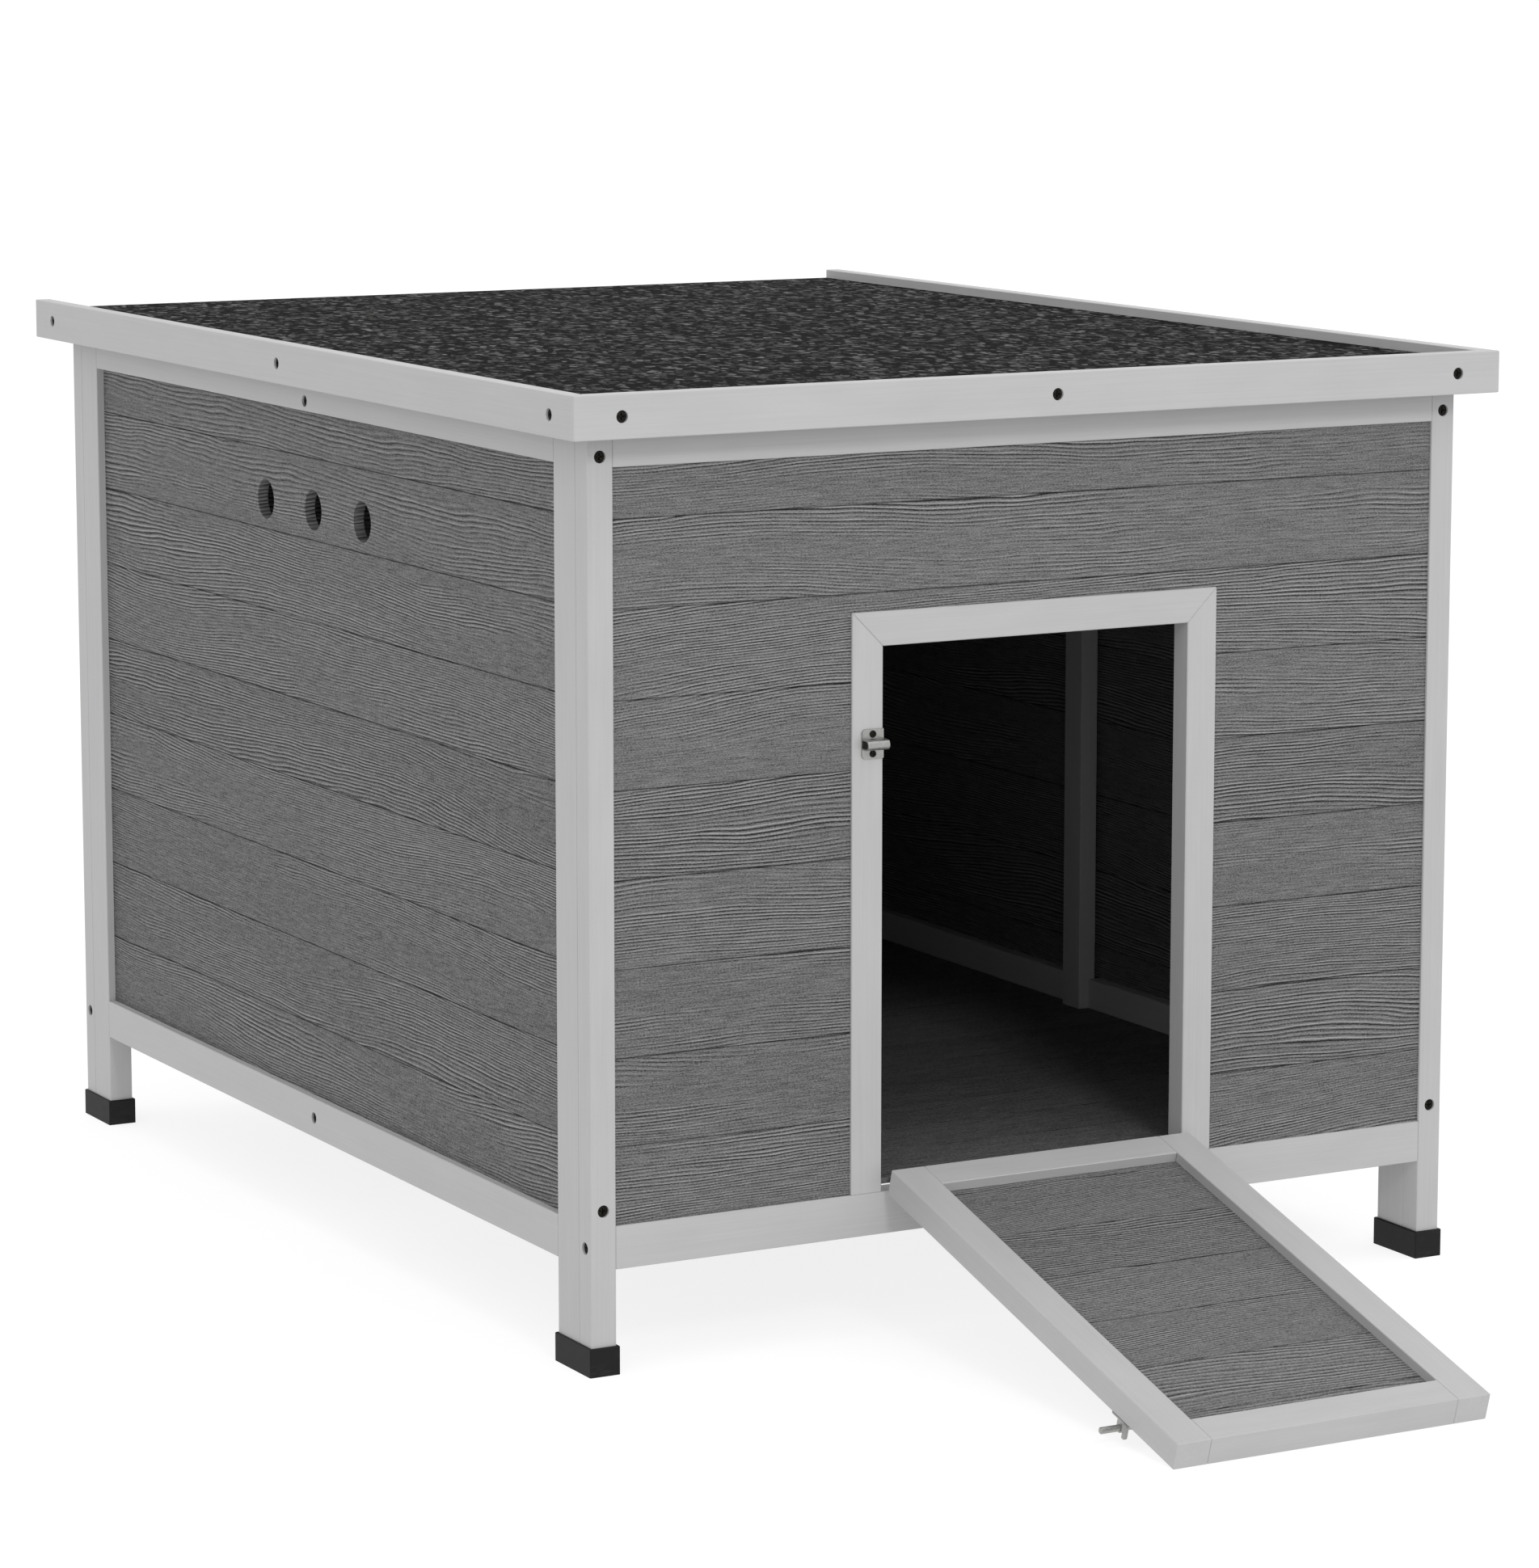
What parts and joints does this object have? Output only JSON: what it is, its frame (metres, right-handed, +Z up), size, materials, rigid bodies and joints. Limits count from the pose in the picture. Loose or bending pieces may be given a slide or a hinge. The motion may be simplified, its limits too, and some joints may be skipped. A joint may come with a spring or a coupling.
{
  "type": "animal hutch",
  "caption": "Small framed animal hutch on four capped legs, with grained wall boards, round side vents, a lift-up felted roof and a drop-down ramp door with a sliding latch.",
  "frame": {"origin": "on the ground, under the middle of the whole object's box with the ramp down", "axes": "+X to the right seen from the doorway, +Y from the doorway to the back wall, +Z up"},
  "size_m": [0.744, 1.3215, 0.67],
  "materials": {
    "frame_paint": "light grey satin paint on planed softwood",
    "grained_board": "grey stained board with raised grain",
    "roof_board": "plain sheet",
    "roof_felt": "charcoal mineral felt",
    "foot_cap": "matt black moulded",
    "dark_screw": "black coated",
    "zinc_fitting": "zinc plated"
  },
  "bodies": {
    "house": {"door_head": "frame_paint", "door_jamb_left": "frame_paint", "door_jamb_right": "frame_paint", "floor_bearer": "frame_paint", "floor_panel": "grained_board", "foot_cap_front_left": "foot_cap", "foot_cap_front_right": "foot_cap", "foot_cap_rear_left": "foot_cap", "foot_cap_rear_right": "foot_cap", "frame_screws": "dark_screw", "front_board": "grained_board", "front_bottom_rail": "frame_paint", "front_post_left": "frame_paint", "front_post_right": "frame_paint", "front_top_rail": "frame_paint", "hinge_screws_house": "zinc_fitting", "keeper_screws": "zinc_fitting", "latch_keeper": "zinc_fitting", "left_battens": "frame_paint", "left_board": "grained_board", "left_bottom_rail": "frame_paint", "left_front_stile": "frame_paint", "left_middle_stud": "frame_paint", "left_rear_stile": "frame_paint", "left_top_rail": "frame_paint", "ramp_hinge_fixed_leaves": "zinc_fitting", "ramp_hinge_pins": "zinc_fitting", "rear_board": "grained_board", "rear_bottom_rail": "frame_paint", "rear_post_left": "frame_paint", "rear_post_right": "frame_paint", "rear_top_rail": "frame_paint", "right_battens": "frame_paint", "right_board": "grained_board", "right_bottom_rail": "frame_paint", "right_front_stile": "frame_paint", "right_middle_stud": "frame_paint", "right_rear_stile": "frame_paint", "right_top_rail": "frame_paint", "roof_hinge_fixed_leaves": "zinc_fitting", "roof_hinge_pins": "zinc_fitting", "stud_screws": "dark_screw"},
    "roof": {"roof_board": "roof_board", "roof_felt": "roof_felt", "front_fascia": "frame_paint", "left_fascia": "frame_paint", "right_fascia": "frame_paint", "fascia_screws": "dark_screw", "roof_hinge_moving_leaves": "zinc_fitting", "hinge_screws_roof": "zinc_fitting"},
    "ramp": {"ramp_stile_left": "frame_paint", "ramp_stile_right": "frame_paint", "ramp_hinge_rail": "frame_paint", "ramp_outer_rail": "frame_paint", "ramp_board": "grained_board", "ramp_hinge_moving_leaves": "zinc_fitting", "hinge_screws_ramp": "zinc_fitting", "latch_body": "zinc_fitting", "latch_screws": "zinc_fitting"},
    "latch": {"latch_rod": "zinc_fitting"}
  },
  "joints": [
    {"name": "ramp_hinge", "type": "hinge", "parent": "house", "child": "ramp", "pos_m": [0, -0.2857, 0.101], "axis": [-1, 0, 0], "range_deg": [0, 105.64]},
    {"name": "roof_hinge", "type": "hinge", "parent": "house", "child": "roof", "pos_m": [0, 0.6393, 0.6465], "axis": [-1, 0, 0], "range_deg": [0, 90]},
    {"name": "latch_slide", "type": "slide", "parent": "ramp", "child": "latch", "axis": [1, 0, 0], "range_m": [0, 0.0135]}
  ]
}
